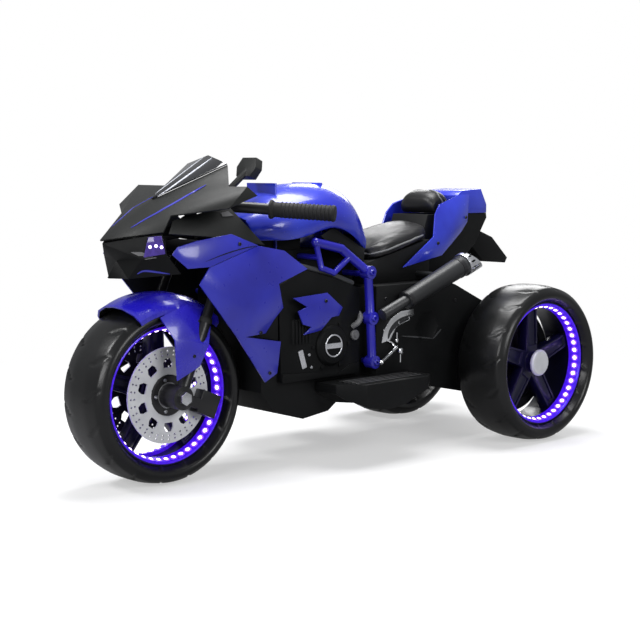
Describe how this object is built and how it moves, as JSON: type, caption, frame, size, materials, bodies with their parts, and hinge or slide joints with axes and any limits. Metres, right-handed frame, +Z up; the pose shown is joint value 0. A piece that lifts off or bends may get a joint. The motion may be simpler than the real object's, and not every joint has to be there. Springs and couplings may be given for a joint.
{
  "type": "kids electric motorbike",
  "caption": "Child's ride-on electric sports-bike trike with faceted fairings, light-ringed wheels, steering fork, padded seat and backrest, and footboards with an accelerator pedal.",
  "frame": {"origin": "on the ground below the middle of the wheel base", "axes": "+Z up, +X to the rider's left, +Y towards the tail"},
  "size_m": [0.515, 1.12, 0.5808],
  "materials": {
    "tyre_black": "matt",
    "rim_dark": "gloss",
    "light_strip": "lit",
    "disc_steel": "brushed",
    "axle_steel": "bright",
    "black_plastic": "grained",
    "black_gloss": "gloss",
    "blue_gloss": "gloss",
    "frame_blue": "gloss",
    "fork_black": "satin",
    "seat_black": "soft sheen",
    "bright_chrome": "polished",
    "silver_trim": "satin",
    "smoked_screen": "smoked",
    "lamp_lens": "clear",
    "grip_rubber": "matt",
    "button_red": "gloss",
    "grey_plastic": "satin",
    "motor_metal": "plain"
  },
  "bodies": {
    "chassis": {"chassis_tub": "black_plastic", "spine": "black_plastic", "steering_head": "fork_black", "rear_housing": "black_plastic", "seat_base": "black_plastic", "tail_base": "black_plastic", "tail_hump": "blue_gloss", "tail_bracket": "black_plastic", "nose_cowl": "black_plastic", "windscreen": "smoked_screen", "chin_cowl": "black_plastic", "headlights": "lamp_lens", "cowl_side_panels": "black_plastic", "upper_fairings": "blue_gloss", "lower_fairings": "blue_gloss", "tail_cowls": "blue_gloss", "duct_panels": "blue_gloss", "knee_pads": "black_plastic", "fuel_tank_cover": "blue_gloss", "seat_cushion": "seat_black", "backrest_pad": "seat_black", "engine_cover_left": "black_plastic", "engine_cover_right": "black_plastic", "side_vents": "black_plastic", "clutch_trims": "silver_trim", "trellis_frames": "frame_blue", "exhausts": "black_gloss", "exhaust_tips": "silver_trim", "foot_levers": "bright_chrome", "footboards": "black_plastic", "rear_axle": "axle_steel", "drive_gearboxes": "grey_plastic", "drive_motors": "motor_metal", "battery": "grey_plastic", "controller": "grey_plastic"},
    "steering": {"front_axle": "axle_steel", "front_axle_nuts": "axle_steel", "fork_legs": "fork_black", "fork_yoke": "fork_black", "front_fender": "blue_gloss", "brake_calipers": "black_plastic", "handlebar": "fork_black", "handlebar_grips": "grip_rubber", "instrument_pod": "black_plastic"},
    "front_wheel": {"front_tyre": "tyre_black", "front_rim": "rim_dark", "front_led_rings": "light_strip", "front_brake_discs": "disc_steel", "front_wheel_bushes": "grey_plastic"},
    "rear_left_wheel": {"rear_left_tyre": "tyre_black", "rear_left_rim": "rim_dark", "rear_left_led_ring": "light_strip", "rear_left_hub_cap": "silver_trim"},
    "rear_right_wheel": {"rear_right_tyre": "tyre_black", "rear_right_rim": "rim_dark", "rear_right_led_ring": "light_strip", "rear_right_hub_cap": "silver_trim"},
    "accelerator": {"accelerator_pedal": "grey_plastic"},
    "power": {"power_button": "button_red"},
    "direction": {"direction_switch": "button_red"}
  },
  "joints": [
    {"name": "steering_turn", "type": "hinge", "parent": "chassis", "child": "steering", "pos_m": [0, -0.4, 0.16], "axis": [0, 0.3988, 0.9171], "range_deg": [-24, 24]},
    {"name": "front_wheel_spin", "type": "hinge", "parent": "steering", "child": "front_wheel", "pos_m": [0, -0.4, 0.16], "axis": [1, 0, 0], "continuous": true},
    {"name": "rear_left_spin", "type": "hinge", "parent": "chassis", "child": "rear_left_wheel", "pos_m": [0.196, 0.4, 0.16], "axis": [1, 0, 0], "continuous": true},
    {"name": "rear_right_spin", "type": "hinge", "parent": "chassis", "child": "rear_right_wheel", "pos_m": [-0.196, 0.4, 0.16], "axis": [1, 0, 0], "continuous": true},
    {"name": "accelerator_press", "type": "hinge", "parent": "chassis", "child": "accelerator", "pos_m": [-0.151, 0.041, 0.1643], "axis": [1, 0, 0], "range_deg": [0, 7.5], "stiffness_Nm_per_rad": 1.2, "springref_deg": -6.88},
    {"name": "power_press", "type": "slide", "parent": "chassis", "child": "power", "axis": [0, 0, -1], "range_m": [0, 0.0025], "stiffness_N_per_m": 400, "springref_m": -0.001},
    {"name": "direction_rock", "type": "hinge", "parent": "chassis", "child": "direction", "pos_m": [-0.103, -0.024, 0.3], "axis": [0, 0, 1], "range_deg": [-8, 8]}
  ]
}
